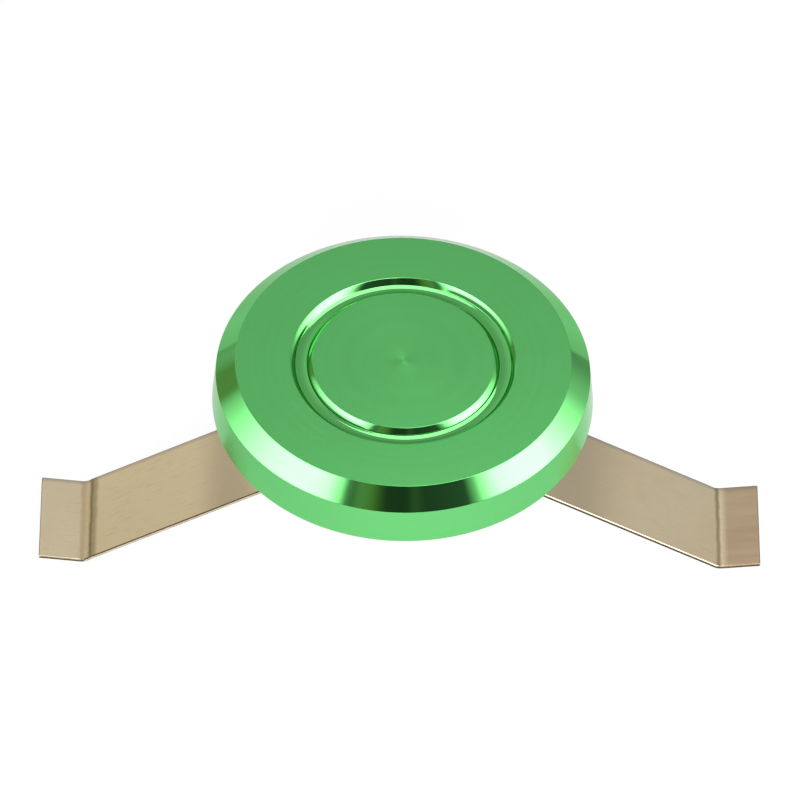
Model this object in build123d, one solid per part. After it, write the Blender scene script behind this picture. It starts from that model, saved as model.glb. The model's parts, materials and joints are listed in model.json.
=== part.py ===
"""Desk spinner: a turned flywheel on a small ball bearing, standing on a bent spring strip.

Units are millimetres. +Z is up, the floor is Z = 0 and the spin axis is the Z axis.
X runs along the spring strip, from foot to foot.
"""

import os
from math import cos, radians, sin, tan

from build123d import *

# Spring strip: one bent piece of strip steel
strip_width = 14.0
strip_thickness = 0.5
pad_half_length = 6.0        # from the axis to the upper bend's corner, on the top face
leg_run = 36.0               # level distance from the upper bend's corner to the foot bend's
leg_slope = 31.2             # degrees below level
foot_length = 6.0            # from the foot bend's corner to the end, on the top face
foot_rise = 7.0              # degrees above level
bend_radius = 1.5            # on the inside of each bend
strip_corner_radius = 0.15   # the four corners of the strip's outline

# Hub: the parts clamped to the strip
journal_radius = 3.175       # quarter inch bore of the bearing
journal_clearance = 0.01
collar_radius = 3.85         # bears on the inner race only
flange_radius = 4.75         # bears on the strip
flange_height = 1.7
hub_standoff = 3.388         # from the strip's top face to the inner race
key_radius = 3.0             # double-D key that stops the axle turning in the strip
key_across_flats = 5.0
key_height = 0.4
key_clearance = 0.05
edge_break = 0.2             # small turned chamfers

# Finger cap
cap_face_radius = 11.89
cap_bevel_width = 0.61
cap_bevel_depth = 0.6
cap_thickness = 1.5
cap_gap = 0.15               # all round the cap and under it
cap_boss_radius = 4.0
cap_thread_radius = 2.5
cap_thread_depth = 1.9
cap_thread_end_gap = 0.2
thread_clearance = 0.02

# Flywheel
face_radius = 21.98          # outer edge of the flat top
bevel_radius = 24.53         # outer edge of the bevel
bevel_depth = 2.26
base_radius = 25.0           # the side flares a little to the bottom edge
flywheel_height = 7.53
groove_outer_radius = 14.77
groove_wall_width = 0.67
groove_depth = 0.71          # at both edges of its hollow floor
groove_floor_sag = 0.11      # how far the floor dips between them
base_edge_break = 0.25
lip_thickness = 0.6          # stops the outer race from above
lip_radius = 5.6
web_clearance = 0.3          # between the cap's underside and the recess floor
pocket_outer_radius = 21.0
pocket_inner_radius = 11.5
pocket_depth = 2.5
pocket_bevel = 0.8           # left by the tool in the pocket's inner corners
boss_land = 0.66             # metal left below the circlip groove

# Ball bearing, quarter inch bore
race_outer_radius = 6.35
race_width = 4.762
seat_clearance = 0.01
ball_radius = 0.992
ball_count = 8
pitch_radius = 4.7625
ball_play = 0.015            # between ball and groove on each side
groove_ratio = 1.06          # groove radius over ball radius
inner_land_radius = 4.12
outer_land_radius = 5.38
race_edge_break = 0.2
cage_sheet = 0.15
cage_half_width = 0.42
cage_play = 0.06
cage_rivet_radius = 0.18
cage_rivet_proud = 0.06      # left standing above each half
shield_sheet = 0.15
shield_inset = 0.45          # from the race's face to the shield's outer face
shield_gap = 0.12            # between the shield and the inner race
shield_seat_radius = 5.75
snap_ring_wire = 0.16
snap_ring_gap = 0.6

# Circlip under the outer race
circlip_thickness = 1.0
circlip_inner_radius = 5.55
circlip_groove_depth = 0.45
circlip_play = 0.05
circlip_gap_angle = 50.0
ear_radius = 0.75
ear_centre_radius = 5.45
ear_hole_radius = 0.4

# Clamp screw and washers under the strip
screw_radius = 1.5
screw_hole_radius = 1.6
screw_grip = 5.0             # length inside the axle
screw_hole_depth = 6.0
screw_head_radius = 2.85
screw_head_height = 1.65
screw_head_rim = 0.4         # straight side of the domed head
screw_head_bulge = 0.25
screw_crown_radius = 1.5     # flat end of the domed head
socket_across_flats = 2.0
socket_depth = 1.0
flat_washer_radius = 4.5
flat_washer_thickness = 0.8
split_washer_radius = 3.0
split_washer_thickness = 0.8
split_washer_gap = 0.5


def revolve_profile(points, arc_middle=None):
    """A closed outline of (radius, height) points turned about the spin axis.

    The last point joins the first straight, or by an arc through arc_middle."""
    corners = [(r, 0, z) for r, z in points]
    if arc_middle is None:
        outline = Polyline(*corners, close=True)
    else:
        middle = (arc_middle[0], 0, arc_middle[1])
        outline = Polyline(*corners) + ThreePointArc(corners[-1], middle, corners[0])
    return revolve(make_face(outline), Axis.Z, 360)


def ring(inner, outer, bottom, top):
    return revolve_profile([(inner, bottom), (outer, bottom), (outer, top), (inner, top)])


def cylinder(radius, bottom, top):
    return extrude(Plane.XY.offset(bottom) * Circle(radius), top - bottom)


# Heights, from the floor up. The lowest point is under the foot bends.
bend_half_turn = radians((leg_slope + foot_rise) / 2)
bend_lean = radians((leg_slope - foot_rise) / 2)
foot_bend_height = bend_radius + strip_thickness
foot_corner_height = foot_bend_height - bend_radius * cos(bend_lean) / cos(bend_half_turn)
strip_top = foot_corner_height + leg_run * tan(radians(leg_slope))
strip_underside = strip_top - strip_thickness
race_bottom = strip_top + hub_standoff
race_top = race_bottom + race_width
recess_floor = race_top + lip_thickness
cap_bottom = recess_floor + web_clearance
top_face = cap_bottom + cap_thickness
flywheel_bottom = top_face - flywheel_height
circlip_top = race_bottom
boss_bottom = race_bottom - circlip_thickness - 2 * circlip_play - boss_land
cap_radius = cap_face_radius + cap_bevel_width
recess_radius = cap_radius + cap_gap
cap_bevel_foot = top_face - cap_bevel_depth
groove_edge = top_face - groove_depth
ball_height = (race_bottom + race_top) / 2
seat_radius = race_outer_radius + seat_clearance


def strip_line(depth):
    """Corners of the strip's side outline, from end to end, at a depth below the top face."""
    leg = radians(leg_slope)
    foot = radians(foot_rise)
    pad_x = pad_half_length - depth * tan(leg / 2)
    pad_z = strip_top - depth
    spread = depth / cos(bend_half_turn)
    foot_x = pad_half_length + leg_run - spread * sin(bend_lean)
    foot_z = foot_corner_height - spread * cos(bend_lean)
    end_x = pad_half_length + leg_run + foot_length * cos(foot) + depth * sin(foot)
    end_z = foot_corner_height + foot_length * sin(foot) - depth * cos(foot)
    right = [(pad_x, pad_z), (foot_x, foot_z), (end_x, end_z)]
    return [(-x, z) for x, z in reversed(right)] + right


def make_spring_strip():
    outer_bend = bend_radius + strip_thickness
    top = strip_line(0)
    under = strip_line(strip_thickness)
    top_line = FilletPolyline(*top, radius=[bend_radius, outer_bend, outer_bend, bend_radius])
    under_line = FilletPolyline(*under, radius=[outer_bend, bend_radius, bend_radius, outer_bend])
    ends = [Line(top[0], under[0]), Line(top[-1], under[-1])]
    section = make_face(Curve() + top_line + under_line + ends)
    strip = extrude(Plane.XZ * section, strip_width / 2, both=True)
    reach = max(x for x, z in top + under)
    outline = RectangleRounded(2 * reach, strip_width, strip_corner_radius)
    strip = strip & extrude(outline, 2 * strip_top)
    hole = double_d(key_radius + key_clearance, key_across_flats + 2 * key_clearance)
    hole = Plane.XY.offset(strip_underside - 1) * hole
    return strip - extrude(hole, strip_thickness + 2)


def double_d(radius, across_flats):
    return Circle(radius) & Rectangle(2 * radius, across_flats)


def make_hub_axle():
    key_bottom = strip_top - key_height
    collar_bottom = strip_top + flange_height
    thread_top = race_top + cap_thread_depth - cap_thread_end_gap
    journal = journal_radius - journal_clearance
    thread = cap_thread_radius - thread_clearance
    turned = revolve_profile([
        (0, strip_top),
        (flange_radius, strip_top),
        (flange_radius, collar_bottom - edge_break),
        (flange_radius - edge_break, collar_bottom),
        (collar_radius, collar_bottom),
        (collar_radius, race_bottom),
        (journal, race_bottom),
        (journal, race_top),
        (thread, race_top),
        (thread, thread_top - edge_break),
        (thread - edge_break, thread_top),
        (0, thread_top),
    ])
    key = Plane.XY.offset(key_bottom) * double_d(key_radius, key_across_flats)
    axle = turned + extrude(key, key_height)
    return axle - cylinder(screw_radius + thread_clearance, key_bottom, key_bottom + screw_hole_depth)


def make_finger_cap():
    bore_top = race_top + cap_thread_depth
    return revolve_profile([
        (0, top_face),
        (cap_face_radius, top_face),
        (cap_radius, cap_bevel_foot),
        (cap_radius, cap_bottom + edge_break),
        (cap_radius - edge_break, cap_bottom),
        (cap_boss_radius, cap_bottom),
        (cap_boss_radius, race_top),
        (cap_thread_radius, race_top),
        (cap_thread_radius, bore_top),
        (0, bore_top),
    ])


def make_flywheel():
    groove_foot = groove_outer_radius - groove_wall_width
    pocket_top = flywheel_bottom + pocket_depth
    clip_groove_bottom = circlip_top - circlip_thickness - 2 * circlip_play
    clip_groove_radius = seat_radius + circlip_groove_depth
    return revolve_profile([
        (groove_foot, groove_edge),
        (groove_outer_radius, top_face),
        (face_radius, top_face),
        (bevel_radius, top_face - bevel_depth),
        (base_radius, flywheel_bottom + base_edge_break),
        (base_radius - base_edge_break, flywheel_bottom),
        (pocket_outer_radius, flywheel_bottom),
        (pocket_outer_radius, pocket_top - pocket_bevel),
        (pocket_outer_radius - pocket_bevel, pocket_top),
        (pocket_inner_radius + pocket_bevel, pocket_top),
        (pocket_inner_radius, pocket_top - pocket_bevel),
        (pocket_inner_radius, boss_bottom + edge_break),
        (pocket_inner_radius - edge_break, boss_bottom),
        (seat_radius + edge_break, boss_bottom),
        (seat_radius, boss_bottom + edge_break),
        (seat_radius, clip_groove_bottom),
        (clip_groove_radius, clip_groove_bottom),
        (clip_groove_radius, circlip_top),
        (seat_radius, circlip_top),
        (seat_radius, race_top),
        (lip_radius, race_top),
        (lip_radius, recess_floor),
        (recess_radius, recess_floor),
        (recess_radius, groove_edge),
    ], ((groove_foot + recess_radius) / 2, groove_edge - groove_floor_sag))


def race_groove(side):
    """The ring that a race's groove is cut with, a little off the balls' circle for their play."""
    groove_radius = ball_radius * groove_ratio
    shift = groove_radius - ball_radius - ball_play
    return Pos(0, 0, ball_height) * Torus(pitch_radius + side * shift, groove_radius)


def make_inner_race():
    wall = race_edge_break
    body = revolve_profile([
        (journal_radius + wall, race_bottom),
        (inner_land_radius, race_bottom),
        (inner_land_radius, race_top),
        (journal_radius + wall, race_top),
        (journal_radius, race_top - wall),
        (journal_radius, race_bottom + wall),
    ])
    return body - race_groove(1)


def make_outer_race():
    wall = race_edge_break
    step = shield_inset + shield_sheet
    body = revolve_profile([
        (shield_seat_radius, race_bottom),
        (race_outer_radius - wall, race_bottom),
        (race_outer_radius, race_bottom + wall),
        (race_outer_radius, race_top - wall),
        (race_outer_radius - wall, race_top),
        (shield_seat_radius, race_top),
        (shield_seat_radius, race_top - step),
        (outer_land_radius, race_top - step),
        (outer_land_radius, race_bottom + step),
        (shield_seat_radius, race_bottom + step),
    ])
    return body - race_groove(-1)


def around(count, phase=0):
    """Places on the balls' circle, each with its X axis pointing outwards."""
    return [
        Rot(0, 0, (i + phase) * 360 / count) * Pos(pitch_radius, 0, ball_height)
        for i in range(count)
    ]


def make_balls():
    return Compound([place * Sphere(ball_radius) for place in around(ball_count)])


def make_cage_half(side):
    """One pressed half of the ribbon cage: a flat ring that arches over each ball."""
    hollow = ball_radius + cage_play
    arch = hollow + cage_sheet
    inner = pitch_radius - cage_half_width
    outer = pitch_radius + cage_half_width
    sheet_end = ball_height + side * cage_sheet
    arch_end = ball_height + side * arch
    flat = ring(inner, outer, min(ball_height, sheet_end), max(ball_height, sheet_end))
    band = ring(inner, outer, min(ball_height, arch_end), max(ball_height, arch_end))
    half = flat
    for place in around(ball_count):
        half += band & (place * Rot(0, 90, 0) * Cylinder(arch, 4 * cage_half_width))
    for place in around(ball_count):
        half -= place * Rot(0, 90, 0) * Cylinder(hollow, 5 * cage_half_width)
    for place in around(ball_count, 0.5):
        half -= place * Cylinder(cage_rivet_radius, 4 * cage_sheet)
    return half


def make_cage_rivets():
    length = 2 * (cage_sheet + cage_rivet_proud)
    return Compound([
        place * Cylinder(cage_rivet_radius, length) for place in around(ball_count, 0.5)
    ])


def make_shield(side):
    """A pressed washer that closes one face of the bearing, clear of the inner race."""
    face = race_top if side > 0 else race_bottom
    outer_face = face - side * shield_inset
    inner_face = outer_face - side * shield_sheet
    shield = ring(
        inner_land_radius + shield_gap, shield_seat_radius - seat_clearance,
        min(outer_face, inner_face), max(outer_face, inner_face),
    )
    return shield


def make_snap_ring(side):
    """The split wire ring that holds a shield in its seat."""
    face = race_top if side > 0 else race_bottom
    outer = shield_seat_radius - seat_clearance
    shield_face = face - side * shield_inset
    far = shield_face + side * snap_ring_wire
    wire = ring(outer - snap_ring_wire, outer, min(shield_face, far), max(shield_face, far))
    gap = Pos(outer, 0, shield_face) * Box(4 * snap_ring_wire, snap_ring_gap, 4 * snap_ring_wire)
    return wire - gap


def make_circlip():
    """The spring ring that holds the bearing up in its bore, with an ear at each end."""
    top = circlip_top - circlip_play
    outer = seat_radius + circlip_groove_depth - circlip_play
    half = radians(circlip_gap_angle / 2)
    reach = 2 * outer
    opening = make_face(Polyline(
        (0, 0), (reach * cos(half), -reach * sin(half)), (reach * cos(half), reach * sin(half)),
        close=True,
    ))
    clip = Circle(outer) - Circle(circlip_inner_radius) - opening
    ears = [
        Rot(0, 0, side * circlip_gap_angle / 2) * Pos(ear_centre_radius, 0) for side in (-1, 1)
    ]
    for ear in ears:
        clip += ear * Circle(ear_radius)
    for ear in ears:
        clip -= ear * Circle(ear_hole_radius)
    return extrude(Plane.XY.offset(top - circlip_thickness) * clip, circlip_thickness)


def make_flat_washer():
    top = strip_underside
    return ring(screw_hole_radius, flat_washer_radius, top - flat_washer_thickness, top)


def make_split_washer():
    top = strip_underside - flat_washer_thickness
    body = ring(screw_hole_radius, split_washer_radius, top - split_washer_thickness, top)
    slit = Box(2 * split_washer_radius, split_washer_gap, 3 * split_washer_thickness)
    slit = Pos(split_washer_radius + 0.5, 0, top) * Rot(30, 0, 0) * slit
    return body - slit


def make_clamp_screw():
    seat = strip_underside - flat_washer_thickness - split_washer_thickness
    crown = seat - screw_head_height
    tip = strip_top - key_height + screw_grip
    rim = seat - screw_head_rim
    dome = SagittaArc((screw_head_radius, rim), (screw_crown_radius, crown), screw_head_bulge)
    rest = Polyline(
        (screw_crown_radius, crown), (0, crown), (0, tip), (screw_radius - edge_break, tip),
        (screw_radius, tip - edge_break), (screw_radius, seat), (screw_head_radius, seat),
        (screw_head_radius, rim),
    )
    screw = revolve(Plane.XZ * make_face(Curve() + [dome, rest]), Axis.Z, 360)
    socket = RegularPolygon(socket_across_flats / 2, 6, major_radius=False)
    return screw - extrude(Plane.XY.offset(crown) * socket, socket_depth)


pieces = {
    "spring_strip": make_spring_strip(),
    "hub_axle": make_hub_axle(),
    "finger_cap": make_finger_cap(),
    "flywheel": make_flywheel(),
    "bearing_inner_race": make_inner_race(),
    "bearing_outer_race": make_outer_race(),
    "bearing_balls": make_balls(),
    "bearing_cage_upper": make_cage_half(1),
    "bearing_cage_lower": make_cage_half(-1),
    "bearing_cage_rivets": make_cage_rivets(),
    "bearing_shield_top": make_shield(1),
    "bearing_shield_bottom": make_shield(-1),
    "shield_snap_ring_top": make_snap_ring(1),
    "shield_snap_ring_bottom": make_snap_ring(-1),
    "bearing_circlip": make_circlip(),
    "flat_washer": make_flat_washer(),
    "split_washer": make_split_washer(),
    "clamp_screw": make_clamp_screw(),
}

os.makedirs("parts", exist_ok=True)
for name, piece in pieces.items():
    export_step(piece, f"parts/{name}.step")

print(f"top face at {top_face:.3f} mm, flywheel underside at {flywheel_bottom:.3f} mm")
print(f"strip's top face at {strip_top:.3f} mm, boss underside at {boss_bottom:.3f} mm")
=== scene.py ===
# Desk spinner: a green anodised disc on a small ball bearing, standing on a bent spring strip.
import bpy
import json
import math
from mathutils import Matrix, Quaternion, Vector

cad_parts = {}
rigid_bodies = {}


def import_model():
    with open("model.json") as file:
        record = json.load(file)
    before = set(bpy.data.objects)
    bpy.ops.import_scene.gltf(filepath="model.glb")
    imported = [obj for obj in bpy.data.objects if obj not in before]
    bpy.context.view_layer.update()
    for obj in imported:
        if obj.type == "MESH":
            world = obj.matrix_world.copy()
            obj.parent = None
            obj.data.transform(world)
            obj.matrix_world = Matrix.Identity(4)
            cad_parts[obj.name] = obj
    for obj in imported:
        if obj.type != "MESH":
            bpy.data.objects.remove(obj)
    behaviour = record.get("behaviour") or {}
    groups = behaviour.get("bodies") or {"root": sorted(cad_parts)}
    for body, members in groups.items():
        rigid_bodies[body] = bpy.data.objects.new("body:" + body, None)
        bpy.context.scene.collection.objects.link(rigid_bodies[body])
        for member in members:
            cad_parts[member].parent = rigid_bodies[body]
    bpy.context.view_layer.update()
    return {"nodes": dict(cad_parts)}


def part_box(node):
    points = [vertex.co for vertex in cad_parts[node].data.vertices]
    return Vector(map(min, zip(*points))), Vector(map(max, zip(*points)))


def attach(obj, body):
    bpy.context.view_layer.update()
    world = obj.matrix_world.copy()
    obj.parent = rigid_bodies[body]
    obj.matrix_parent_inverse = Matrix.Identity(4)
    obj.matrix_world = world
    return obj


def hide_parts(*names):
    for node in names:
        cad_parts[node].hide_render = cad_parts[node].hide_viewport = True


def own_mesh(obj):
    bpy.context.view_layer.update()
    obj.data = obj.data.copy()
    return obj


mm = 0.001

bpy.ops.object.select_all(action="SELECT")
bpy.ops.object.delete()
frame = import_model()
bpy.ops.object.select_all(action="DESELECT")

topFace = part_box("finger_cap")[1].z
top = topFace / mm  # heights below are in mm from the floor, and depths in mm from the top
print("frame loaded, the disc's top is at", round(top, 2), "mm")


def linear(hexCode):  # sRGB hex to the linear values that sockets take
    parts = [int(hexCode[i:i + 2], 16) / 255 for i in (1, 3, 5)]
    return tuple(p / 12.92 if p <= 0.04045 else ((p + 0.055) / 1.055) ** 2.4 for p in parts) + (1.0,)


def addNode(tree, kind, settings=None, links=None):  # a link is (node, its output) or a plain value
    node = tree.nodes.new(kind)
    for name, value in (settings or {}).items():
        setattr(node, name, value)
    for name, value in (links or {}).items():
        if isinstance(value, tuple) and isinstance(value[0], bpy.types.Node):
            tree.links.new(value[0].outputs[value[1]], node.inputs[name])
        else:
            node.inputs[name].default_value = value
    return node


def startMaterial(name, **sockets):  # a principled shader, with its plain values set on its own sockets
    material = bpy.data.materials.new(name)
    material.use_nodes = True
    tree = material.node_tree
    shader = tree.nodes["Principled BSDF"]
    for socket, value in sockets.items():
        shader.inputs[socket.replace("_", " ")].default_value = value
    place = addNode(tree, "ShaderNodeTexCoord")
    return material, tree, shader, (place, "Object")


def feedShader(tree, shader, **patterns):  # what varies over the surface, each as (node, its output)
    for socket, (node, output) in patterns.items():
        tree.links.new(node.outputs[output], shader.inputs[socket.replace("_", " ")])


def ringDistance(tree, place):  # distance from the axis less height, so rings run round faces and walls alike
    split = addNode(tree, "ShaderNodeSeparateXYZ", {}, {0: place})
    flat = addNode(tree, "ShaderNodeCombineXYZ", {}, {0: (split, 0), 1: (split, 1)})
    radius = addNode(tree, "ShaderNodeVectorMath", {"operation": "LENGTH"}, {0: (flat, 0)})
    return addNode(tree, "ShaderNodeMath", {"operation": "SUBTRACT"}, {0: (radius, "Value"), 1: (split, 2)})


noiseSpan = {1: 0.3, 2: 0.7}  # nearly all of a noise lies between these, where a Map Range starts and ends

anodised = {
    "dye": "#50BD5D",         # green dye in the clear oxide, over bare metal
    "dyeWorn": "#62C66E",
    "edgeTint": "#7CE189",    # at a glancing angle the light passes through more dye
}

turnedFinish = {
    "rough": 0.255,           # satin
    "ringRough": 0.01,        # how far the roughness strays from ring to ring
    "cloudRough": 0.008,      # and from cloud to cloud
    "worn": 0.14,             # the most that worn dye shows
    "ringPitch": 0.7,         # mm; the real feed is near 0.05, drawn coarser so that it shows
    "wavePitch": 2.2,         # mm, slow waves left by the tool's slide
    "waveDepth": 0.002,       # mm
    "waveStrength": 0.05,
    "cloudSize": 9.0,         # mm
    # the rings are tightest where the tool ended, so a faint fan of light stands at the middle
    "fanRadius": 2.6,         # mm
    "fan": (0.8, 0.15),       # anisotropy at the middle, and from that radius on
    "ringsRun": 0.25,         # a quarter turn, which lays the gleam across the rings
    "coatRough": 0.2, "coatIor": 1.6,  # the sealed oxide
}


def makeTurned():
    # anodised aluminium, fine turned: the tool leaves rings that spread the gleam across them
    f = turnedFinish
    material, tree, shader, place = startMaterial(
        "anodisedAluminiumTurned", Metallic=1.0, Specular_Tint=linear(anodised["edgeTint"]),
        Anisotropic_Rotation=f["ringsRun"],
        Coat_Weight=1.0, Coat_Roughness=f["coatRough"], Coat_IOR=f["coatIor"])
    rings = ringDistance(tree, place)
    fine = addNode(tree, "ShaderNodeTexNoise", {"noise_dimensions": "1D"}, {
        "W": (rings, 0), "Scale": 1 / (f["ringPitch"] * mm), "Detail": 0.0})
    waves = addNode(tree, "ShaderNodeTexNoise", {"noise_dimensions": "1D"}, {
        "W": (rings, 0), "Scale": 1 / (f["wavePitch"] * mm), "Detail": 1.0})
    cloud = addNode(tree, "ShaderNodeTexNoise", {}, {
        "Vector": place, "Scale": 1 / (f["cloudSize"] * mm), "Detail": 2.0})
    worn = addNode(tree, "ShaderNodeMapRange", {}, {0: (fine, 0), **noiseSpan, 3: 0.0, 4: f["worn"]})
    tint = addNode(tree, "ShaderNodeMix", {"data_type": "RGBA"}, {
        "Factor": (worn, 0), "A": linear(anodised["dye"]), "B": linear(anodised["dyeWorn"])})
    spread = addNode(tree, "ShaderNodeMapRange", {}, {
        0: (waves, 0), **noiseSpan, 3: f["rough"] - f["ringRough"], 4: f["rough"] + f["ringRough"]})
    blotch = addNode(tree, "ShaderNodeMapRange", {}, {
        0: (cloud, 0), **noiseSpan, 3: -f["cloudRough"], 4: f["cloudRough"]})
    rough = addNode(tree, "ShaderNodeMath", {"operation": "ADD"}, {0: (spread, 0), 1: (blotch, 0)})
    bump = addNode(tree, "ShaderNodeBump", {}, {
        "Strength": f["waveStrength"], "Distance": f["waveDepth"] * mm, "Height": (waves, 0)})
    tangent = addNode(tree, "ShaderNodeTangent", {"direction_type": "RADIAL", "axis": "Z"})
    fan = addNode(tree, "ShaderNodeMapRange", {}, {
        0: (rings, 0), 1: -topFace, 2: f["fanRadius"] * mm - topFace, 3: f["fan"][0], 4: f["fan"][1]})
    feedShader(tree, shader, Base_Color=(tint, "Result"), Roughness=(rough, 0), Normal=(bump, 0),
               Tangent=(tangent, 0), Anisotropic=(fan, 0))
    return material


polishedFinish = {
    "dye": "#53BC59",         # over the bright cut the dye looks a touch yellower
    "dyeWorn": "#65C56A",
    "worn": 0.15,             # the most that worn dye shows
    "rough": (0.055, 0.09),   # from cloud to cloud
    "linePitch": 0.25,        # mm; the real feed is near 0.02, drawn coarser so that it shows
    "lineDepth": 0.003,       # mm
    "lineStrength": 0.02,
    "cloudSize": 3.0,         # mm
    "coatRough": 0.05, "coatIor": 1.54,
}


def makePolished():
    # anodised aluminium, diamond cut: nearly a mirror, with the faintest tool lines
    f = polishedFinish
    material, tree, shader, place = startMaterial(
        "anodisedAluminiumPolished", Metallic=1.0, Specular_Tint=linear(anodised["edgeTint"]),
        Coat_Weight=1.0, Coat_Roughness=f["coatRough"], Coat_IOR=f["coatIor"])
    rings = ringDistance(tree, place)
    lines = addNode(tree, "ShaderNodeTexNoise", {"noise_dimensions": "1D"}, {
        "W": (rings, 0), "Scale": 1 / (f["linePitch"] * mm), "Detail": 2.0})
    cloud = addNode(tree, "ShaderNodeTexNoise", {}, {
        "Vector": place, "Scale": 1 / (f["cloudSize"] * mm), "Detail": 3.0})
    worn = addNode(tree, "ShaderNodeMapRange", {}, {0: (cloud, 0), **noiseSpan, 3: 0.0, 4: f["worn"]})
    tint = addNode(tree, "ShaderNodeMix", {"data_type": "RGBA"}, {
        "Factor": (worn, 0), "A": linear(f["dye"]), "B": linear(f["dyeWorn"])})
    rough = addNode(tree, "ShaderNodeMapRange", {}, {
        0: (cloud, 0), **noiseSpan, 3: f["rough"][0], 4: f["rough"][1]})
    bump = addNode(tree, "ShaderNodeBump", {}, {
        "Strength": f["lineStrength"], "Distance": f["lineDepth"] * mm, "Height": (lines, 0)})
    feedShader(tree, shader, Base_Color=(tint, "Result"), Roughness=(rough, 0), Normal=(bump, 0))
    return material


stripFinish = {
    "metal": "#E0CFAF",       # warm nickel tone of the strip
    "straw": "#E2D5B3",       # faint temper colours in it
    "rose": "#D2B794",
    "roseMost": 0.35,         # the most that rose shows in the straw
    "temperSize": 14.0,       # mm, clouds of those colours
    "temperInBands": (0.05, 0.35), "temperInStrokes": (0.0, 0.5),  # how much the brush left of them
    "strokeLength": 2.2,      # mm
    "strokeWidth": 0.3,       # mm; the real grit is near 0.03, drawn coarser so that it shows
    "strokeDepth": 0.004,     # mm
    "strokeStrength": 0.05,
    "bandLength": 16.7, "bandWidth": 1.43,  # mm, broad passes of the brush
    "stroke": "#A8946F",      # single deeper strokes
    "strokeDeep": (0.56, 0.72), "strokeMost": 0.2,  # where in the noise they begin and are full, and how full
    "rough": (0.29, 0.37),    # from stroke to stroke
    "drawnOut": 0.5,          # anisotropy, which draws the gleam out lengthwise
    "temperAndPaintedShade": "#B69E80",      # painted shade, partly temper colour: the right foot darker and a little rosier, where less light falls on it
    "temperAndPaintedShadeFrom": (42.9, 43.8), "temperAndPaintedShadeInBands": (0.75, 1.0),
    # tones across the strip, painted shade and a painted highlight among them: place, half width, colour,
    # strength
    "marksAndPaintedLight": (
        (-22.5, 5.5, "#A4977F", 0.5), (22.5, 9.0, "#A4977F", 0.5),  # painted shade: the legs darker close to the disc, which shades them
        (-42.15, 0.75, "#BFA985", 0.85), (-40.85, 0.7, "#6B5A3C", 0.5),  # at the feet's bends: a painted highlight band on the left one, and darker bands on both
        (-41.22, 0.34, "#6B5A3C", 0.65), (42.52, 0.45, "#766A46", 0.7)),
    "markCore": 0.1,          # share of the half width that is at full strength
    "wobble": 0.06, "wobbleSize": 1.43,  # mm, how far their borders wander, and how often
    "dragged": "#817D84",     # the far edge turned grey where the shear dragged it over
    "draggedFrom": (6.05, 6.95), "draggedMost": 0.5,
    # edge colours: a bright one, the burnished shear with painted highlight, and a dark one that is painted
    # shade
    "sheared": ("#E4D8BE", "#CDBE9F"),
    "paintedEdgeShade": ("#554836", "#594A38"),
}


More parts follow.
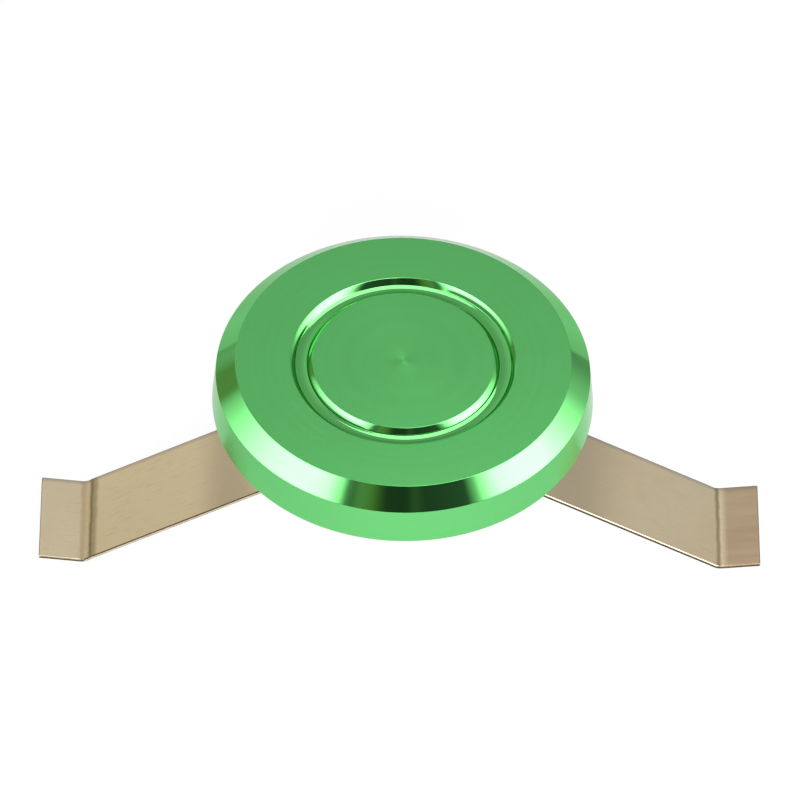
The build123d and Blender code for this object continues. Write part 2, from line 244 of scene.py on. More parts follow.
def makeStripSteel():
    # spring steel strip, brushed along its length: fine streaks, and a soft gleam that runs lengthwise; its
    # colour also carries painted shade and painted highlights
    f = stripFinish
    material, tree, shader, place = startMaterial(
        "springSteelBrushed", Metallic=1.0, Anisotropic=f["drawnOut"])
    split = addNode(tree, "ShaderNodeSeparateXYZ", {}, {0: place})
    passes = []
    sizes = ((f["strokeLength"], f["strokeWidth"], 3.0), (f["bandLength"], f["bandWidth"], 2.0))
    for length, width, detail in sizes:
        long, narrow = 1 / (length * mm), 1 / (width * mm)
        stretched = addNode(tree, "ShaderNodeMapping", {}, {"Vector": place, "Scale": (long, narrow, long)})
        passes.append(addNode(tree, "ShaderNodeTexNoise", {}, {
            "Vector": (stretched, 0), "Scale": 1.0, "Detail": detail}))
    strokes, bands = passes
    cloud = addNode(tree, "ShaderNodeTexNoise", {}, {
        "Vector": place, "Scale": 1 / (f["temperSize"] * mm), "Detail": 2.0})
    rosy = addNode(tree, "ShaderNodeMapRange", {}, {0: (cloud, 0), **noiseSpan, 3: 0.0, 4: f["roseMost"]})
    temper = addNode(tree, "ShaderNodeMix", {"data_type": "RGBA"}, {
        "Factor": (rosy, 0), "A": linear(f["straw"]), "B": linear(f["rose"])})
    low, high = f["temperInBands"]
    inBands = addNode(tree, "ShaderNodeMapRange", {}, {0: (bands, 0), **noiseSpan, 3: low, 4: high})
    low, high = f["temperInStrokes"]
    inStrokes = addNode(tree, "ShaderNodeMapRange", {}, {0: (strokes, 0), **noiseSpan, 3: low, 4: high})
    kept = addNode(tree, "ShaderNodeMath", {"operation": "ADD"}, {0: (inBands, 0), 1: (inStrokes, 0)})
    colour = addNode(tree, "ShaderNodeMix", {"data_type": "RGBA"}, {
        "Factor": (kept, 0), "A": linear(f["metal"]), "B": (temper, "Result")})

    begins, full = f["strokeDeep"]
    deep = addNode(tree, "ShaderNodeMapRange", {}, {
        0: (strokes, 0), 1: begins, 2: full, 3: 0.0, 4: f["strokeMost"]})
    # painted shade on the right foot, with some temper colour
    low, high = f["temperAndPaintedShadeInBands"]
    most = addNode(tree, "ShaderNodeMapRange", {}, {0: (bands, 0), **noiseSpan, 3: low, 4: high})
    begins, full = f["temperAndPaintedShadeFrom"]
    temperAndPaintedShade = addNode(tree, "ShaderNodeMapRange", {}, {
        0: (split, 0), 1: begins * mm, 2: full * mm, 3: 0.0, 4: (most, 0)})
    layers = [(deep, f["stroke"]), (temperAndPaintedShade, f["temperAndPaintedShade"])]
    wander = addNode(tree, "ShaderNodeTexNoise", {}, {
        "Vector": place, "Scale": 1 / (f["wobbleSize"] * mm), "Detail": 2.0})
    shift = addNode(tree, "ShaderNodeMapRange", {}, {
        0: (wander, 0), **noiseSpan, 3: -f["wobble"] * mm, 4: f["wobble"] * mm})
    along = addNode(tree, "ShaderNodeMath", {"operation": "ADD"}, {0: (split, 0), 1: (shift, 0)})
    # these bands include painted shade near the disc and a painted highlight at the left bend
    for middle, half, hexCode, strength in f["marksAndPaintedLight"]:
        away = addNode(tree, "ShaderNodeMath", {"operation": "SUBTRACT"}, {0: (along, 0), 1: middle * mm})
        off = addNode(tree, "ShaderNodeMath", {"operation": "ABSOLUTE"}, {0: (away, 0)})
        markAndPaintedLight = addNode(tree, "ShaderNodeMapRange", {"interpolation_type": "SMOOTHSTEP"}, {
            0: (off, 0), 1: f["markCore"] * half * mm, 2: half * mm, 3: strength, 4: 0.0})
        layers.append((markAndPaintedLight, hexCode))
    begins, full = f["draggedFrom"]
    dragged = addNode(tree, "ShaderNodeMapRange", {"interpolation_type": "SMOOTHSTEP"}, {
        0: (split, 1), 1: begins * mm, 2: full * mm, 3: 0.0, 4: f["draggedMost"]})
    layers.append((dragged, f["dragged"]))
    for share, hexCode in layers:
        colour = addNode(tree, "ShaderNodeMix", {"data_type": "RGBA"}, {
            "Factor": (share, 0), "A": (colour, "Result"), "B": linear(hexCode)})

    rough = addNode(tree, "ShaderNodeMapRange", {}, {
        0: (strokes, 0), **noiseSpan, 3: f["rough"][0], 4: f["rough"][1]})
    bump = addNode(tree, "ShaderNodeBump", {}, {
        "Strength": f["strokeStrength"], "Distance": f["strokeDepth"] * mm, "Height": (strokes, 0)})
    lengthwise = addNode(tree, "ShaderNodeCombineXYZ", {}, {"X": 1.0})
    tangent = addNode(tree, "ShaderNodeVectorTransform", {
        "vector_type": "VECTOR", "convert_from": "OBJECT", "convert_to": "WORLD"}, {0: (lengthwise, 0)})
    feedShader(tree, shader, Base_Color=(colour, "Result"), Roughness=(rough, 0), Normal=(bump, 0),
               Tangent=(tangent, 0))
    return material


plainFinish = {
    "linePitch": 0.12,        # mm between the lines that the finish left; drawn coarser than the real grit
    "lineDepth": 0.01,        # mm
    "lineStrength": 0.1,
    "lineRough": (0.8, 1.25),  # times the metal's roughness, from line to line
}


def makePlainMetal(name, hexCode, hexDull, rough, cloudSize, metallic=1.0):
    # bare or treated steel: small clouds of tone, in mm, and fine lines from how it was finished
    f = plainFinish
    material, tree, shader, place = startMaterial(name, Metallic=metallic)
    cloud = addNode(tree, "ShaderNodeTexNoise", {}, {
        "Vector": place, "Scale": 1 / (cloudSize * mm), "Detail": 4.0})
    rings = ringDistance(tree, place)
    lines = addNode(tree, "ShaderNodeTexNoise", {"noise_dimensions": "1D"}, {
        "W": (rings, 0), "Scale": 1 / (f["linePitch"] * mm), "Detail": 2.0})
    dull = addNode(tree, "ShaderNodeMapRange", {}, {0: (cloud, 0), **noiseSpan, 3: 0.0, 4: 1.0})
    tint = addNode(tree, "ShaderNodeMix", {"data_type": "RGBA"}, {
        "Factor": (dull, 0), "A": linear(hexCode), "B": linear(hexDull)})
    smoother, rougher = f["lineRough"]
    spread = addNode(tree, "ShaderNodeMapRange", {}, {
        0: (lines, 0), **noiseSpan, 3: rough * smoother, 4: rough * rougher})
    bump = addNode(tree, "ShaderNodeBump", {}, {
        "Strength": f["lineStrength"], "Distance": f["lineDepth"] * mm, "Height": (lines, 0)})
    feedShader(tree, shader, Base_Color=(tint, "Result"), Roughness=(spread, 0), Normal=(bump, 0))
    return material


turned = makeTurned()
polished = makePolished()
stripSteel = makeStripSteel()
# a bright edge, partly the burnished shear and partly painted highlight, and a dark one that is painted shade
shearedEdgeAndHighlight = makePlainMetal("springSteelShearedEdgeAndHighlight", *stripFinish["sheared"], 0.22, 1.5)
edgePaintedShade = makePlainMetal("springSteelEdgePaintedShade", *stripFinish["paintedEdgeShade"], 0.4, 0.8)
# clean and faintly warm; ground to a mirror; a soft sheen; a bluish sheen; a dull black
stainless = makePlainMetal("stainlessSteelTurned", "#C9C8C4", "#B6B4AF", 0.22, 1.2)
bearingSteel = makePlainMetal("bearingSteelGround", "#CFCFCE", "#BEBEBD", 0.1, 0.8)
pressedSteel = makePlainMetal("mildSteelPressed", "#B9B7B0", "#A5A29A", 0.3, 0.9)
zincSteel = makePlainMetal("steelZincPlated", "#C2C5C8", "#A9ADB4", 0.28, 0.7)
blackSteel = makePlainMetal("springSteelPhosphated", "#3A3A3C", "#2C2B2B", 0.42, 0.6, metallic=0.85)
print("materials made")

slack = 0.05          # mm, how far past an edge faces are picked, which takes in its rounding
close = 0.005 * mm    # how near a point lies to the place that it is picked by
squareOn = 0.97       # share of a normal along an axis, past which its face counts as square to it


def readyToPick(obj, what="FACE"):  # makes it the active mesh, out of edit mode, with nothing selected in it
    bpy.ops.object.select_all(action="DESELECT")
    obj.select_set(True)
    bpy.context.view_layer.objects.active = obj
    bpy.ops.object.mode_set(mode="EDIT")
    bpy.ops.mesh.select_mode(type=what)
    bpy.ops.mesh.select_all(action="DESELECT")
    bpy.ops.object.mode_set(mode="OBJECT")


def settled():  # the shape just added, with its place taken into its mesh
    obj = bpy.context.object
    bpy.ops.object.transform_apply(location=True, rotation=True, scale=True)
    return obj


def turnedBlank(name, radius, low, high, segments=256):
    bpy.ops.mesh.primitive_cylinder_add(
        vertices=segments, radius=radius * mm, depth=(high - low) * mm,
        location=(0, 0, (high + low) / 2 * mm))
    obj = settled()
    obj.name = obj.data.name = name
    return obj


def drawOut(obj, up, steps):  # an end face is extruded and scaled ring by ring, in (radius, height) mm
    readyToPick(obj)
    way = 1 if up else -1
    ends = [p for p in obj.data.polygons if p.normal.z * way > squareOn]
    end = max(ends, key=lambda p: p.area)
    end.select = True
    height = end.center.z
    radius = obj.data.vertices[end.vertices[0]].co.xy.length
    bpy.ops.object.mode_set(mode="EDIT")
    for newRadius, newHeight in steps:
        bpy.ops.mesh.extrude_region_move(TRANSFORM_OT_translate={"value": (0, 0, newHeight * mm - height)})
        height = newHeight * mm
        k = newRadius * mm / radius
        bpy.ops.transform.resize(value=(k, k, 1), center_override=(0, 0, height))
        radius = newRadius * mm
    bpy.ops.object.mode_set(mode="OBJECT")


def joinEnds(obj):  # the two many sided faces left by drawing out from above and below meet in a bore
    readyToPick(obj)
    for p in obj.data.polygons:
        p.select = len(p.vertices) > 4
    bpy.ops.object.mode_set(mode="EDIT")
    bpy.ops.mesh.delete(type="FACE")
    bpy.ops.mesh.select_mode(type="EDGE")
    bpy.ops.mesh.select_all(action="DESELECT")
    bpy.ops.mesh.select_non_manifold()
    bpy.ops.mesh.bridge_edge_loops()
    bpy.ops.object.mode_set(mode="OBJECT")


def applyModifier(obj, kind, **settings):
    bpy.ops.object.select_all(action="DESELECT")
    obj.select_set(True)
    bpy.context.view_layer.objects.active = obj
    modifier = obj.modifiers.new(kind.title(), kind)
    for name, value in settings.items():
        setattr(modifier, name, value)
    bpy.ops.object.modifier_apply(modifier=modifier.name)


def cutWith(obj, cutter):
    applyModifier(obj, "BOOLEAN", object=cutter, operation="DIFFERENCE", solver="EXACT")
    bpy.data.objects.remove(cutter, do_unlink=True)


def breakEdges(obj, width, segments=3, angle=25):  # tiny rounds where a tool or tumbling dulled the edges
    applyModifier(obj, "BEVEL", width=width * mm, segments=segments, limit_method="ANGLE",
                  angle_limit=math.radians(angle), harden_normals=False, miter_outer="MITER_ARC")
    bpy.ops.object.shade_smooth_by_angle(angle=math.radians(35))
    applyModifier(obj, "WEIGHTED_NORMAL", weight=80, keep_sharp=True)


def useMaterials(obj, materials, choose=None):  # choose gives the index of a face's material
    obj.data.materials.clear()
    for m in materials:
        obj.data.materials.append(m)
    if choose:
        for p in obj.data.polygons:
            p.material_index = choose(p)


def finishPiece(obj, body, node, slot):
    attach(obj, body)
    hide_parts(node)
    print("made", obj.name, len(obj.data.polygons), "faces")


wheel = {
    "faceRadius": 21.98, "bevelRadius": 24.53, "bevelDepth": 2.26, "baseRadius": 25.0, "height": 7.53,
    "baseChamfer": 0.25, "faceRing": 18.4,  # an extra ring of edges keeps the flat face's quads short
    "grooveOuter": 14.77, "recessRadius": 12.6, "recessDepth": 1.8,
    # radius and depth: a wall that steepens as it goes down, then a hollow channel that rises to the recess
    "grooveFloor": (
        (14.585, 0.16), (14.42, 0.32), (14.275, 0.49), (14.1, 0.72), (13.98, 0.747), (13.86, 0.772),
        (13.74, 0.797), (13.63, 0.817), (13.53, 0.829), (13.42, 0.834), (13.28, 0.834), (13.14, 0.827),
        (13.02, 0.813), (12.9, 0.793), (12.79, 0.768), (12.69, 0.743), (12.6, 0.72)),
    "brightDepth": 1.0,       # the diamond cut stops here, down in the recess
    "lipRadius": 5.6, "lipThickness": 0.6, "seatRadius": 6.36, "bearingWidth": 4.762,
    "clipGrooveRadius": 6.81, "clipGrooveWidth": 1.1, "land": 0.66,  # the land holds the circlip from below
    "pocketOuter": 21.0, "pocketInner": 11.5, "pocketDepth": 2.5, "pocketBevel": 0.8, "bossChamfer": 0.2,
    "edge": 0.03,             # rounding of its sharp edges
}


def makeFlywheel():
    w = wheel
    base = top - w["height"]
    race = top - w["recessDepth"] - w["lipThickness"]
    clip = race - w["bearingWidth"]
    clipLow = clip - w["clipGrooveWidth"]
    boss = clipLow - w["land"]
    ceiling = base + w["pocketDepth"]
    bevelFoot = top - w["bevelDepth"]
    obj = turnedBlank("flywheelTurned", w["baseRadius"], base + w["baseChamfer"], bevelFoot)
    readyToPick(obj)
    for p in obj.data.polygons:
        p.select = p.normal.z > squareOn
    bpy.ops.object.mode_set(mode="EDIT")
    k = w["bevelRadius"] / w["baseRadius"]  # the side leans in a little towards the bevel
    bpy.ops.transform.resize(value=(k, k, 1), center_override=(0, 0, bevelFoot * mm))
    bpy.ops.object.mode_set(mode="OBJECT")
    groove = [(radius, top - depth) for radius, depth in w["grooveFloor"]]
    recess, seat, clipSeat = top - w["recessDepth"], w["seatRadius"], w["clipGrooveRadius"]
    drawOut(obj, True, [(w["faceRadius"], top), (w["faceRing"], top), (w["grooveOuter"], top)] + groove + [
        (w["recessRadius"], recess), (w["lipRadius"], recess), (w["lipRadius"], race), (seat, race),
        (seat, clip), (clipSeat, clip)])
    outer, inner, slope, chamfer = w["pocketOuter"], w["pocketInner"], w["pocketBevel"], w["bossChamfer"]
    drawOut(obj, False, [
        (w["baseRadius"] - w["baseChamfer"], base), (outer, base), (outer, ceiling - slope),
        (outer - slope, ceiling), (inner + slope, ceiling), (inner, ceiling - slope),
        (inner, boss + chamfer), (inner - chamfer, boss), (seat + chamfer, boss), (seat, boss + chamfer),
        (seat, clipLow), (clipSeat, clipLow)])
    joinEnds(obj)
    breakEdges(obj, w["edge"])

    def choose(p):  # 1 is the diamond cut bevel and groove
        radius, height = p.center.xy.length / mm, p.center.z / mm
        onBevel = radius > w["faceRadius"] - slack and height > bevelFoot - slack
        inGroove = (w["recessRadius"] - slack < radius < w["grooveOuter"] + slack
                    and height > top - w["brightDepth"])
        onFace = p.normal.z > squareOn and height > top - slack
        return 1 if (onBevel or inGroove) and not onFace else 0

    useMaterials(obj, [turned, polished], choose)
    finishPiece(obj, "rotor", "flywheel", "anodised_flywheel")


makeFlywheel()

cap = {
    "faceRadius": 11.89, "radius": 12.54, "bevelDepth": 0.64,
    "bevelCurve": ((12.46, 0.545), (12.32, 0.4), (12.1, 0.192)),  # the bevel is a little full in the middle
    "faceRings": (8.0, 4.0, 0.6),  # extra rings of edges keep the flat face's quads short
    "thickness": 1.5, "underChamfer": 0.2, "bossRadius": 4.0, "bossBottom": 2.4,
    "boreRadius": 2.5, "boreTop": 0.5, "edge": 0.03,
}


def makeFingerCap():
    c = cap
    under, bossBottom, bevelFoot = top - c["thickness"], top - c["bossBottom"], top - c["bevelDepth"]
    obj = turnedBlank("fingerCapTurned", c["radius"], under + c["underChamfer"], bevelFoot)
    bevel = [(radius, top - depth) for radius, depth in c["bevelCurve"]]
    drawOut(obj, True, bevel + [(radius, top) for radius in (c["faceRadius"],) + c["faceRings"]])
    drawOut(obj, False, [
        (c["radius"] - c["underChamfer"], under), (c["bossRadius"], under), (c["bossRadius"], bossBottom),
        (c["boreRadius"], bossBottom), (c["boreRadius"], top - c["boreTop"])])
    breakEdges(obj, c["edge"])

    def choose(p):  # 1 is the diamond cut bevel
        radius, height = p.center.xy.length / mm, p.center.z / mm
        onBevel = radius > c["faceRadius"] - slack and height > bevelFoot - slack
        return 1 if onBevel and p.normal.z < squareOn else 0

    useMaterials(obj, [turned, polished], choose)
    finishPiece(obj, "hub", "finger_cap", "anodised_cap")


makeFingerCap()

strip = {
    "width": 14.0, "thickness": 0.5, "padHalf": 6.0, "footCorner": (-42.0, 42.4), "footCornerHeight": 0.448,
    "footEnd": 47.955, "footRise": 7.0,
    "kink": 0.8, "kinkExtra": (6.0, 2.5),  # the press drove each leg's last bit down steeper, in degrees
    "shoulderBend": 2.0, "kinkBend": 2.5, "footBend": 1.3,  # bend radii on the top face
    "bendFacets": 12, "kinkFacets": 3, "cornerRadius": 0.15,
    "keyRadius": 3.05, "keyFlats": 5.1,  # the hole for the axle's key
    "edge": 0.13,             # rounding of its edges
    "leaning": 0.2,           # share of a normal sideways from which a face is part of that rounding
    "tipFrom": 47.5,          # beyond this x the sheared edge runs round the foot's end
}


def makeLeg(obj, corner, extra, padTop):  # draws an end edge out down the leg and along the foot
    s = strip
    side = math.copysign(1, corner)
    pad, low, rise = s["padHalf"], s["footCornerHeight"], math.radians(s["footRise"])
    steeper = math.atan((padTop - low) / (abs(corner) - pad)) + math.radians(extra)
    kinkX, kinkZ = corner - side * s["kink"], low + s["kink"] * math.tan(steeper)
    endX = side * s["footEnd"]
    endZ = low + abs(endX - corner) * math.tan(rise)
    points = [(side * pad, padTop), (kinkX, kinkZ), (corner, low), (endX, endZ)]
    readyToPick(obj, "EDGE")
    for v in obj.data.vertices:
        v.select = abs(v.co.x - side * pad * mm) < close
    for e in obj.data.edges:
        e.select = all(obj.data.vertices[v].select for v in e.vertices)
    bpy.ops.object.mode_set(mode="EDIT")
    for here, there in zip(points, points[1:]):
        bpy.ops.mesh.extrude_region_move(TRANSFORM_OT_translate={
            "value": ((there[0] - here[0]) * mm, 0, (there[1] - here[1]) * mm)})
    bpy.ops.object.mode_set(mode="OBJECT")
    leg = math.atan((padTop - kinkZ) / (abs(kinkX) - pad))  # its slope, as the bends there need it
    return [(side * pad, s["shoulderBend"], leg, s["bendFacets"]),
            (kinkX, s["kinkBend"], steeper - leg, s["kinkFacets"]),
            (corner, s["footBend"], steeper + rise, s["bendFacets"])]


def makeSpringStrip():
    s = strip
    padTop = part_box("spring_strip")[1].z
    bpy.ops.mesh.primitive_plane_add(size=1, location=(0, 0, padTop))
    bpy.context.object.scale = (2 * s["padHalf"] * mm, s["width"] * mm, 1)
    obj = settled()
    obj.name = obj.data.name = "springStripBent"
    bends = []  # x, radius on the top face, turn, facets
    for corner, extra in zip(s["footCorner"], s["kinkExtra"]):
        bends += makeLeg(obj, corner, extra, padTop / mm)
    for x, radius, turn, facets in bends:
        readyToPick(obj, "EDGE")
        for e in obj.data.edges:
            e.select = all(abs(obj.data.vertices[v].co.x - x * mm) < close for v in e.vertices)
        bpy.ops.object.mode_set(mode="EDIT")
        bpy.ops.mesh.bevel(
            offset=radius * math.tan(turn / 2) * mm, segments=facets, profile=0.5, affect="EDGES")
        bpy.ops.object.mode_set(mode="OBJECT")
    readyToPick(obj, "VERT")
    end = max(v.co.x for v in obj.data.vertices)
    for v in obj.data.vertices:
        v.select = abs(abs(v.co.x) - end) < close
    bpy.ops.object.mode_set(mode="EDIT")
    bpy.ops.mesh.bevel(offset=s["cornerRadius"] * mm, segments=5, affect="VERTICES")
    bpy.ops.mesh.select_all(action="SELECT")
    bpy.ops.mesh.normals_make_consistent(inside=False)
    bpy.ops.object.mode_set(mode="OBJECT")
    if obj.data.polygons[0].normal.z < 0:  # the thickness goes below the top face
        obj.data.flip_normals()
    applyModifier(obj, "SOLIDIFY", thickness=s["thickness"] * mm, offset=-1, use_even_offset=True)
    bpy.ops.mesh.primitive_cylinder_add(
        vertices=64, radius=s["keyRadius"] * mm, depth=8 * s["thickness"] * mm, location=(0, 0, padTop))
    cutter = settled()
    for side in (-1, 1):
        bpy.ops.object.mode_set(mode="EDIT")
        bpy.ops.mesh.select_all(action="SELECT")
        bpy.ops.mesh.bisect(plane_co=(0, side * s["keyFlats"] / 2 * mm, 0), plane_no=(0, side, 0),
                            clear_outer=True, use_fill=True)
        bpy.ops.object.mode_set(mode="OBJECT")
    cutWith(obj, cutter)
    breakEdges(obj, s["edge"], angle=40)

    def choose(p):  # 1 is the bright sheared edge, partly painted highlight, and 2 is painted shade on the rounding above and below it and on some of the edge
        x, normal = p.center.x / mm, p.normal
        across = abs(normal.y) if abs(x) < s["tipFrom"] else max(abs(normal.y), abs(normal.x))
        sheared = across > squareOn
        if normal.y < -s["leaning"]:  # along the front edge the painted highlight and painted shade change from part to part, as the light falls on each
            if x < s["footCorner"][0]:
                return 2 if sheared else 1
            if x > s["footCorner"][1]:
                return 2 if sheared else 0
            if x > 0:
                return 2 if sheared or normal.z < 0 else 1
        if sheared:
            return 1
        awayFromHole = p.center.xy.length > s["padHalf"] * mm
        return 2 if across > s["leaning"] and awayFromHole else 0

    useMaterials(obj, [stripSteel, shearedEdgeAndHighlight, edgePaintedShade], choose)
    finishPiece(obj, "stand", "spring_strip", "spring_strip_steel")
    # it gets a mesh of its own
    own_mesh(obj)


makeSpringStrip()

axle = {
    "flangeRadius": 4.75, "flangeHeight": 1.7, "collarRadius": 3.85, "journalRadius": 3.165,
    "threadRadius": 2.48, "threadLength": 1.7, "keyRadius": 3.0, "keyFlats": 5.0, "keyHeight": 0.4,
    "boreRadius": 1.52, "boreDepth": 5.6, "chamfer": 0.2, "edge": 0.05,
}


def makeHubAxle():
    a = axle
    chamfer = a["chamfer"]
    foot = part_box("spring_strip")[1].z / mm
    flange, keyEnd = foot + a["flangeHeight"], foot - a["keyHeight"]
    low, high = (v.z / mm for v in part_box("bearing_inner_race"))
    tip = high + a["threadLength"]
    obj = turnedBlank("hubAxleTurned", a["flangeRadius"], foot, flange - chamfer, 128)
    drawOut(obj, True, [
        (a["flangeRadius"] - chamfer, flange), (a["collarRadius"], flange), (a["collarRadius"], low),
        (a["journalRadius"], low), (a["journalRadius"], high), (a["threadRadius"], high),
        (a["threadRadius"], tip - chamfer), (a["threadRadius"] - chamfer, tip)])
    drawOut(obj, False, [
        (a["keyRadius"], foot), (a["keyRadius"], keyEnd), (a["boreRadius"], keyEnd),
        (a["boreRadius"], foot + a["boreDepth"])])
    block = 8  # mm, a cutting block wider than the key
    for side in (-1, 1):  # two flats key it into the strip
        bpy.ops.mesh.primitive_cube_add(
            size=block * mm, location=(0, side * (a["keyFlats"] + block) / 2 * mm, (foot - block / 2) * mm))
        cutWith(obj, settled())
    breakEdges(obj, a["edge"], segments=2)
    useMaterials(obj, [stainless])
    finishPiece(obj, "hub", "hub_axle", "turned_stainless")


makeHubAxle()

screw = {
    "headRadius": 2.85, "headHeight": 1.65, "rim": 0.4,
    # radius, and depth from the seat
    "dome": ((2.72, 0.68), (2.5, 0.98), (2.2, 1.28), (1.85, 1.52), (1.5, 1.65)),
    "shankRadius": 1.48, "tipChamfer": 0.2, "socketFlats": 2.0, "socketDepth": 1.0, "edge": 0.04,
}


def makeClampScrew():
    s = screw
    low, high = (v.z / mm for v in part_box("clamp_screw"))
    seat = low + s["headHeight"]
    shank, chamfer = s["shankRadius"], s["tipChamfer"]
    obj = turnedBlank("clampScrewHead", s["headRadius"], seat - s["rim"], seat, 96)
    drawOut(obj, False, [(radius, seat - depth) for radius, depth in s["dome"]])
    drawOut(obj, True, [(shank, seat), (shank, high - chamfer), (shank - chamfer, high)])
    bpy.ops.mesh.primitive_cylinder_add(
        vertices=6, radius=s["socketFlats"] / 2 / math.cos(math.pi / 6) * mm, depth=2 * s["socketDepth"] * mm,
        location=(0, 0, low * mm))
    cutWith(obj, settled())
    breakEdges(obj, s["edge"], segments=2, angle=40)
    useMaterials(obj, [zincSteel])
    finishPiece(obj, "hub", "clamp_screw", "fastener_steel")


makeClampScrew()

eased = {  # small parts that keep their CAD shape: piece, body, slot, material, rounding in mm
    "flat_washer": ("flatWasherEased", "hub", "fastener_steel", zincSteel, 0.06),
    "split_washer": ("splitWasherEased", "hub", "fastener_steel", zincSteel, 0.05),
    "bearing_circlip": ("circlipEased", "rotor", "circlip_steel", blackSteel, 0.06),
}


def easeNode(node, name, body, slot, material, edge):  # a merged copy of a small part, with its edges eased
    obj = frame["nodes"][node].copy()
    obj.data = obj.data.copy()
    obj.name = obj.data.name = name
    for key in list(obj.keys()):
        del obj[key]
    obj.parent = None
    bpy.context.scene.collection.objects.link(obj)
    readyToPick(obj, "VERT")
    bpy.ops.object.mode_set(mode="EDIT")
    bpy.ops.mesh.select_all(action="SELECT")
    bpy.ops.mesh.remove_doubles(threshold=0.002 * mm)
    bpy.ops.mesh.customdata_custom_splitnormals_clear()
    bpy.ops.mesh.dissolve_limited(angle_limit=math.radians(1))
    bpy.ops.mesh.normals_make_consistent(inside=False)
    bpy.ops.object.mode_set(mode="OBJECT")
    breakEdges(obj, edge, segments=2, angle=40)
    useMaterials(obj, [material])
    finishPiece(obj, body, node, slot)


for node, choices in eased.items():
    easeNode(node, *choices)

inside = {
    "bearing_inner_race": bearingSteel, "bearing_outer_race": bearingSteel, "bearing_balls": bearingSteel,
    "bearing_cage_upper": pressedSteel, "bearing_cage_lower": pressedSteel,
    "bearing_cage_rivets": pressedSteel, "bearing_shield_top": pressedSteel,
    "bearing_shield_bottom": pressedSteel,
    "shield_snap_ring_top": stainless, "shield_snap_ring_bottom": stainless,
}
for node, material in inside.items():
    for slot in frame["nodes"][node].material_slots:
        slot.material = material
print("bearing parts finished")

studio = {
    "floorSize": 6.0, "floorColour": "#FAFAFA", "floorRough": 0.9,
    "floorGlow": 0.92, "floorWhite": 1.03,  # share of the floor that shows plain white, and how white that is
    "floorShine": (0.28, 0.8), "paintedLightReach": (0.08, 0.22),  # how much of it the metal mirrors, near and far: painted light, the paper glows whiter away from the object and duller close to it
    "sky": 0.06,              # light on rough surfaces
    "above": 0.53, "below": 0.44,  # brightness of the room over head height and at table height
    # what stands round the table: azimuth from the front, brightness, warmth, elevation where it starts
    "round": (
        (-180, 0.64, 0, 40), (-138, 0.95, 0, 2), (-130, 0.46, 0.5, 2), (-120, 0.48, 0.5, 3),
        (-116, 1.0, 0, 8), (-106, 2.0, 0, 15), (-96, 3.6, 0, 21), (-86, 5.0, 0, 26), (-72, 5.9, 0, 30),
        (-56, 6.2, 0, 33), (-46, 4.8, 0, 34), (-41, 2.9, 0, 30), (-35, 0.4, 0, 5), (-31, 0.27, 0.1, 0),
        (-27, 0.45, 0.3, 0), (-20, 0.4, 0.55, 0), (-14, 0.17, 0.5, 0), (-10, 0.07, 0, 0),
        (3, 0.065, 0, 0), (9, 0.15, 0.3, 0), (15, 0.08, 0, 0), (41, 0.12, 0, 2), (47, 1.0, 0, 8),
        (53, 3.5, 0, 11), (61, 5.8, 0, 12), (74, 6.4, 0, 13), (88, 6.2, 0, 12), (98, 4.4, 0, 10),
        (110, 2.3, 0, 7), (120, 1.0, 0, 4), (134, 0.5, 0, 2), (180, 0.64, 0, 40)),
    "greenLoss": 0.25,        # share of its warmth that a warm thing loses in green, next to blue
    "edgeSoftness": 0.07, "roundHigh": (54, 64),  # it fades out over these elevations
    "lampPlace": (0.125, 0.033, 0.36), "lampSize": (0.3, 0.375), "lampTurn": 15, "lampLevel": 2.45,
    "keyPlace": (0.0, -0.2, 0.17), "keyAim": (0.0, -0.05, 0.0), "keySize": (0.3, 0.08), "keyPower": 0.78,
}
white = (1, 1, 1, 1)


def grey(level):  # a plain grey of that brightness
    return (level, level, level, 1)


def heading(azimuth, elevation):  # a direction, azimuth counted from the front towards +X
    a, e = math.radians(azimuth), math.radians(elevation)
    return math.sin(a) * math.cos(e), -math.cos(a) * math.cos(e), math.sin(e)


def makeFloor():
    s = studio
    bpy.ops.mesh.primitive_plane_add(size=s["floorSize"], location=(0, 0, 0))
    floor = bpy.context.object
    floor.name = "floor"
    # matt paper: plain and pale, and it takes a soft shadow
    material, tree, shader, place = startMaterial(
        "paperMatt", Base_Color=linear(s["floorColour"]), Roughness=s["floorRough"])
    path = addNode(tree, "ShaderNodeLightPath")
    plain = addNode(tree, "ShaderNodeEmission", {}, {"Color": white, "Strength": s["floorWhite"]})
    mirrored = addNode(tree, "ShaderNodeMath", {"operation": "MAXIMUM"}, {
        0: (path, "Is Glossy Ray"), 1: (path, "Is Transmission Ray")})
    away = addNode(tree, "ShaderNodeVectorMath", {"operation": "LENGTH"}, {0: place})
    # painted light: the white glow that metal mirrors is weaker close to the object, standing in for its
    # shade
    (near, far), (dull, bright) = s["paintedLightReach"], s["floorShine"]
    level = addNode(tree, "ShaderNodeMapRange", {}, {0: (away, "Value"), 1: near, 2: far, 3: dull, 4: bright})
    shine = addNode(tree, "ShaderNodeMath", {"operation": "MULTIPLY"}, {0: (mirrored, 0), 1: (level, 0)})
    direct = addNode(tree, "ShaderNodeMath", {"operation": "MULTIPLY"}, {
        0: (path, "Is Camera Ray"), 1: s["floorGlow"]})
    seen = addNode(tree, "ShaderNodeMath", {"operation": "MAXIMUM"}, {0: (shine, 0), 1: (direct, 0)})
    shown = addNode(tree, "ShaderNodeMixShader", {}, {0: (seen, 0), 1: (shader, 0), 2: (plain, 0)})
    tree.links.new(shown.outputs[0], tree.nodes["Material Output"].inputs["Surface"])
    floor.data.materials.append(material)


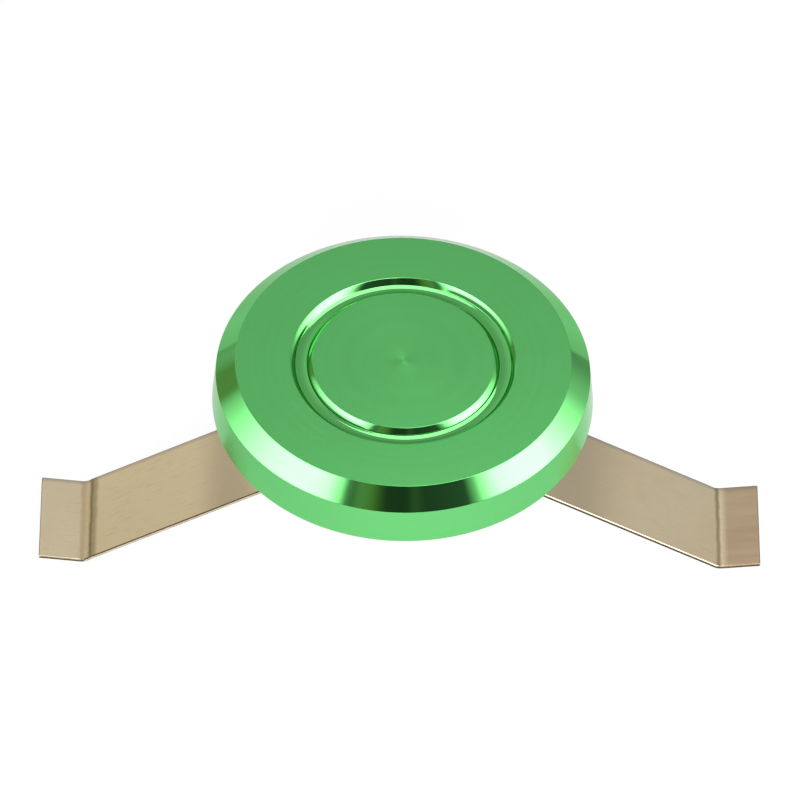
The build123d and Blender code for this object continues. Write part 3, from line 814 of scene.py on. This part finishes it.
def makeWorld():
    s = studio
    world = bpy.data.worlds.new("studio")
    bpy.context.scene.world = world
    world.use_nodes = True
    tree = world.node_tree
    tree.nodes.clear()
    place = addNode(tree, "ShaderNodeTexCoord")
    split = addNode(tree, "ShaderNodeSeparateXYZ", {}, {0: (place, "Generated")})
    front = addNode(tree, "ShaderNodeMath", {"operation": "MULTIPLY"}, {0: (split, 1), 1: -1.0})
    turn = addNode(tree, "ShaderNodeMath", {"operation": "ARCTAN2"}, {0: (split, 0), 1: (front, 0)})
    share = addNode(tree, "ShaderNodeMapRange", {}, {0: (turn, 0), 1: -math.pi, 2: math.pi, 3: 0.0, 4: 1.0})
    ramp = addNode(tree, "ShaderNodeValToRGB", {}, {0: (share, 0)})
    brightest = max(level for _, level, _, _ in s["round"])
    stops = ramp.color_ramp.elements
    for number, (azimuth, level, warmth, start) in enumerate(s["round"]):
        at, level = (azimuth + 180) / 360, level / brightest
        stop = stops[number] if number < 2 else stops.new(at)  # a new ramp has two stops
        stop.position = at
        stop.color = (level, level * (1 - warmth * s["greenLoss"]), level * (1 - warmth),
                      math.sin(math.radians(start)))  # its alpha keeps the height at which it starts
    scaled = addNode(tree, "ShaderNodeVectorMath", {"operation": "SCALE"}, {0: (ramp, 0), "Scale": brightest})
    up = addNode(tree, "ShaderNodeMath", {"operation": "SUBTRACT"}, {0: (split, 2), 1: (ramp, "Alpha")})
    low = addNode(tree, "ShaderNodeMapRange", {}, {
        0: (up, 0), 1: -s["edgeSoftness"], 2: s["edgeSoftness"], 3: 0.0, 4: 1.0})
    begins, gone = (math.sin(math.radians(e)) for e in s["roundHigh"])
    high = addNode(tree, "ShaderNodeMapRange", {}, {0: (split, 2), 1: begins, 2: gone, 3: 1.0, 4: 0.0})
    path = addNode(tree, "ShaderNodeLightPath")
    # metal mirrors the room; rough surfaces get an even sky, and the camera sees white
    wall = addNode(tree, "ShaderNodeMix", {"data_type": "RGBA"}, {
        "Factor": (low, 0), "A": grey(s["below"]), "B": (scaled, 0)})
    room = addNode(tree, "ShaderNodeMix", {"data_type": "RGBA"}, {
        "Factor": (high, 0), "A": grey(s["above"]), "B": (wall, "Result")})
    soft = addNode(tree, "ShaderNodeMix", {"data_type": "RGBA"}, {
        "Factor": (path, "Is Glossy Ray"), "A": grey(s["sky"]), "B": (room, "Result")})
    shown = addNode(tree, "ShaderNodeMix", {"data_type": "RGBA"}, {
        "Factor": (path, "Is Camera Ray"), "A": (soft, "Result"), "B": white})
    light = addNode(tree, "ShaderNodeBackground", {}, {"Color": (shown, "Result"), "Strength": 1.0})
    addNode(tree, "ShaderNodeOutputWorld", {}, {0: (light, 0)})


def makeLamps():  # a wide soft box overhead, and a small one in front that mostly lights the floor
    s = studio
    bpy.ops.object.light_add(
        type="AREA", location=s["lampPlace"], rotation=(0, 0, math.radians(s["lampTurn"])))
    lamp = bpy.context.object.data
    lamp.shape = "RECTANGLE"
    lamp.size, lamp.size_y = s["lampSize"]
    lamp.energy = s["lampLevel"] * math.pi * lamp.size * lamp.size_y
    bpy.ops.object.light_add(type="AREA", location=s["keyPlace"])
    key = bpy.context.object
    key.data.shape, key.data.energy = "ELLIPSE", s["keyPower"]
    key.data.size, key.data.size_y = s["keySize"]
    key.rotation_euler = (Vector(s["keyAim"]) - key.location).to_track_quat("-Z", "Y").to_euler()
    key.visible_glossy = False


view = {
    "lookAt": (-0.428, -6.994),  # mm, a point in the plane of the disc's top
    "distance": 1051.5, "azimuth": -0.842, "elevation": 47.83, "roll": 1.259,
    "sensor": 36.0, "lens": 363.9,
}


def makeCamera():
    v = view
    target = Vector((v["lookAt"][0] * mm, v["lookAt"][1] * mm, topFace))
    away = Vector(heading(v["azimuth"], v["elevation"]))
    bpy.ops.object.camera_add(location=target + away * v["distance"] * mm)
    camera = bpy.context.object
    camera.data.sensor_width = v["sensor"]
    camera.data.lens = v["lens"]
    camera.rotation_mode = "QUATERNION"
    level, roll = (-away).to_track_quat("-Z", "Y"), Quaternion((0, 0, 1), math.radians(v["roll"]))
    camera.rotation_quaternion = level @ roll
    bpy.context.scene.camera = camera


makeFloor()
makeWorld()
makeLamps()
makeCamera()
bpy.context.scene.view_settings.view_transform = "Standard"
print("studio set")
